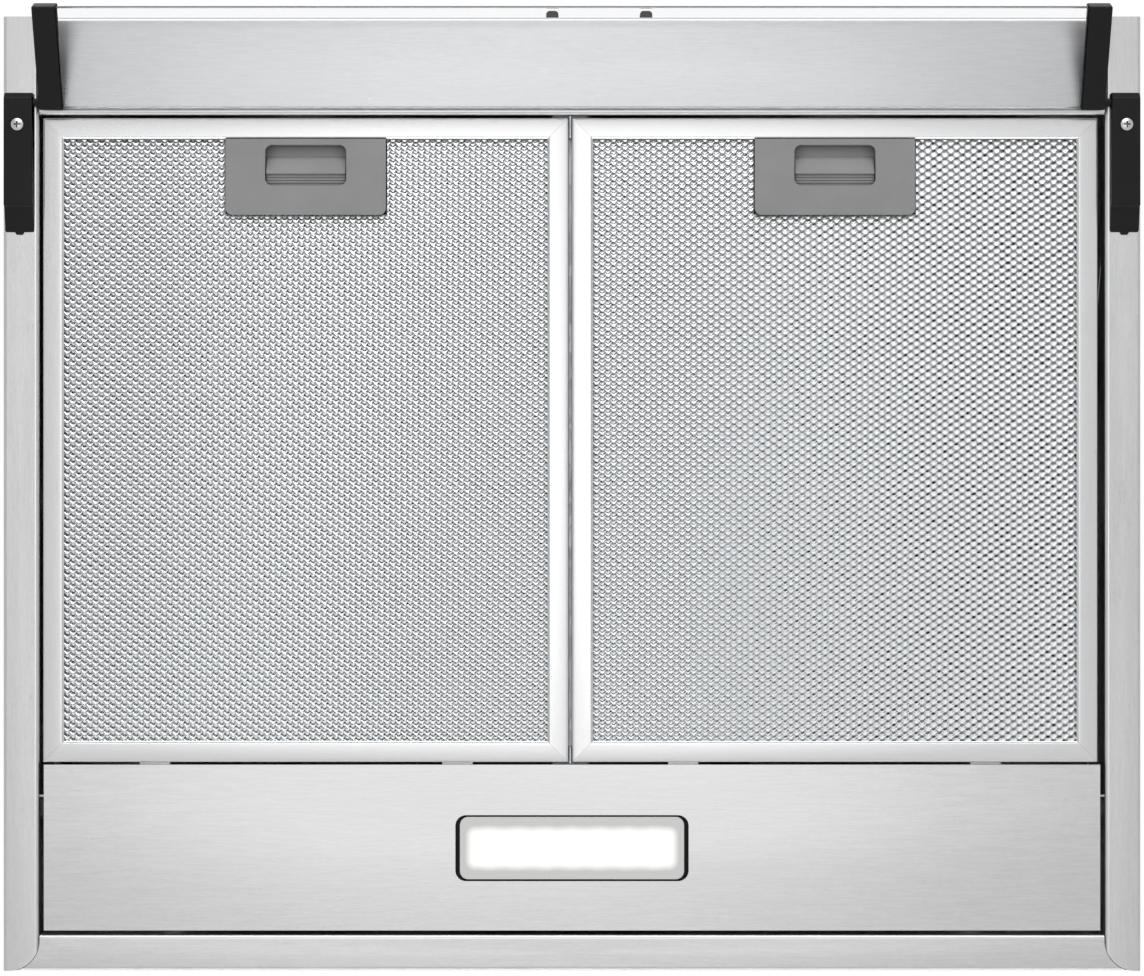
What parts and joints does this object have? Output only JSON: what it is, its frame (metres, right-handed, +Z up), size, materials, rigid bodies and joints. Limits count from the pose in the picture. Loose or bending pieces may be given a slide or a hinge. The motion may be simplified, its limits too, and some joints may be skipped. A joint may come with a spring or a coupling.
{
  "type": "under cabinet range hood",
  "caption": "Under cabinet range hood with a hinged glass visor, lift-out mesh filters with finger catches, a lit lamp, slide switches, a blower and a duct collar.",
  "frame": {"origin": "centre of the cabinet screw pattern, on the top face of the hood", "axes": "+Z up, -Y towards the cook, +X to the cook's right"},
  "size_m": [0.6034, 0.511, 0.2192],
  "materials": {
    "brushed_stainless": "fine horizontal brushing",
    "galvanised_steel": "galvanised",
    "screw_steel": "bright zinc",
    "spring_steel": "drawn wire",
    "filter_aluminium": "satin",
    "mesh_aluminium": "bright expanded metal",
    "grey_plastic": "moulded grey",
    "clear_glass": "clear, polished edges",
    "black_plastic": "fine moulded grain",
    "knob_plastic": "satin",
    "lamp_black": "matt",
    "lamp_satin": "satin",
    "lamp_light": "frosted and lit",
    "circuit_board": "white solder mask",
    "white_plastic": "moulded white",
    "switch_plastic": "moulded black",
    "blower_plastic": "moulded dark grey",
    "wheel_plastic": "moulded black",
    "motor_paint": "grey paint",
    "gasket_foam": "closed cell foam",
    "damper_plastic": "moulded grey",
    "loom_sleeve": "black sleeve"
  },
  "bodies": {
    "root": {"side_panel_left": "brushed_stainless", "side_panel_right": "brushed_stainless", "top_panel": "brushed_stainless", "slope_panel": "brushed_stainless", "nose_panel": "brushed_stainless", "rear_panel": "brushed_stainless", "rear_duct_cover": "galvanised_steel", "hanger_plates": "galvanised_steel", "cross_rail": "galvanised_steel", "centre_rail": "galvanised_steel", "case_screws": "screw_steel", "visor_bracket_left": "black_plastic", "visor_bracket_right": "black_plastic", "bracket_screws": "screw_steel", "light_panel": "brushed_stainless", "lamp_bezel": "lamp_black", "lamp_housing": "lamp_satin", "lamp_lens": "lamp_light", "led_board": "circuit_board", "led_driver": "white_plastic", "switch_housing": "switch_plastic", "scroll_left": "blower_plastic", "scroll_right": "blower_plastic", "motor": "motor_paint", "motor_bracket": "galvanised_steel", "capacitor": "white_plastic", "outlet_seal": "gasket_foam", "duct_collar": "black_plastic", "damper_pins": "screw_steel", "terminal_box": "white_plastic", "cable_gland": "black_plastic", "wire_loom": "loom_sleeve"},
    "visor": {"visor_glass": "clear_glass", "visor_arm_left": "black_plastic", "visor_arm_right": "black_plastic"},
    "filter_left": {"filter_frame_left": "filter_aluminium", "filter_mesh_left": "mesh_aluminium", "latch_plate_left": "grey_plastic", "latch_spring_left": "spring_steel"},
    "filter_right": {"filter_frame_right": "filter_aluminium", "filter_mesh_right": "mesh_aluminium", "latch_plate_right": "grey_plastic", "latch_spring_right": "spring_steel"},
    "latch_left": {"latch_slider_left": "grey_plastic"},
    "latch_right": {"latch_slider_right": "grey_plastic"},
    "fan_slider": {"fan_knob": "knob_plastic"},
    "light_slider": {"light_knob": "knob_plastic"},
    "blower_wheel": {"impeller": "wheel_plastic", "motor_shaft": "screw_steel"},
    "damper_left": {"damper_left": "damper_plastic"},
    "damper_right": {"damper_right": "damper_plastic"}
  },
  "joints": [
    {"name": "visor_tilt", "type": "hinge", "parent": "root", "child": "visor", "pos_m": [0, -0.3073, -0.15285], "axis": [-1, 0, 0], "range_deg": [0, 24]},
    {"name": "filter_left_hinge", "type": "hinge", "parent": "root", "child": "filter_left", "pos_m": [-0.14055, 0.041, -0.1479], "axis": [1, 0, 0], "range_deg": [0, 65]},
    {"name": "filter_right_hinge", "type": "hinge", "parent": "root", "child": "filter_right", "pos_m": [0.13875, 0.041, -0.1479], "axis": [1, 0, 0], "range_deg": [0, 65]},
    {"name": "latch_left_slide", "type": "slide", "parent": "filter_left", "child": "latch_left", "axis": [0, 1, 0], "range_m": [0, 0.0034], "stiffness_N_per_m": 400, "springref_m": -0.003, "deforming": ["latch_spring_left"]},
    {"name": "latch_right_slide", "type": "slide", "parent": "filter_right", "child": "latch_right", "axis": [0, 1, 0], "range_m": [0, 0.0034], "stiffness_N_per_m": 400, "springref_m": -0.003, "deforming": ["latch_spring_right"]},
    {"name": "fan_slide", "type": "slide", "parent": "root", "child": "fan_slider", "axis": [1, 0, 0], "range_m": [-0.016, 0]},
    {"name": "light_slide", "type": "slide", "parent": "root", "child": "light_slider", "axis": [1, 0, 0], "range_m": [0, 0.008]},
    {"name": "blower_spin", "type": "hinge", "parent": "root", "child": "blower_wheel", "pos_m": [0, 0.022, -0.068], "axis": [1, 0, 0], "continuous": true},
    {"name": "damper_left_flap", "type": "hinge", "parent": "root", "child": "damper_left", "pos_m": [-0.0026, 0.062, 0.02], "axis": [0, 1, 0], "range_deg": [0, 80]},
    {"name": "damper_right_flap", "type": "hinge", "parent": "root", "child": "damper_right", "pos_m": [0.0026, 0.062, 0.02], "axis": [0, -1, 0], "range_deg": [0, 80]}
  ]
}
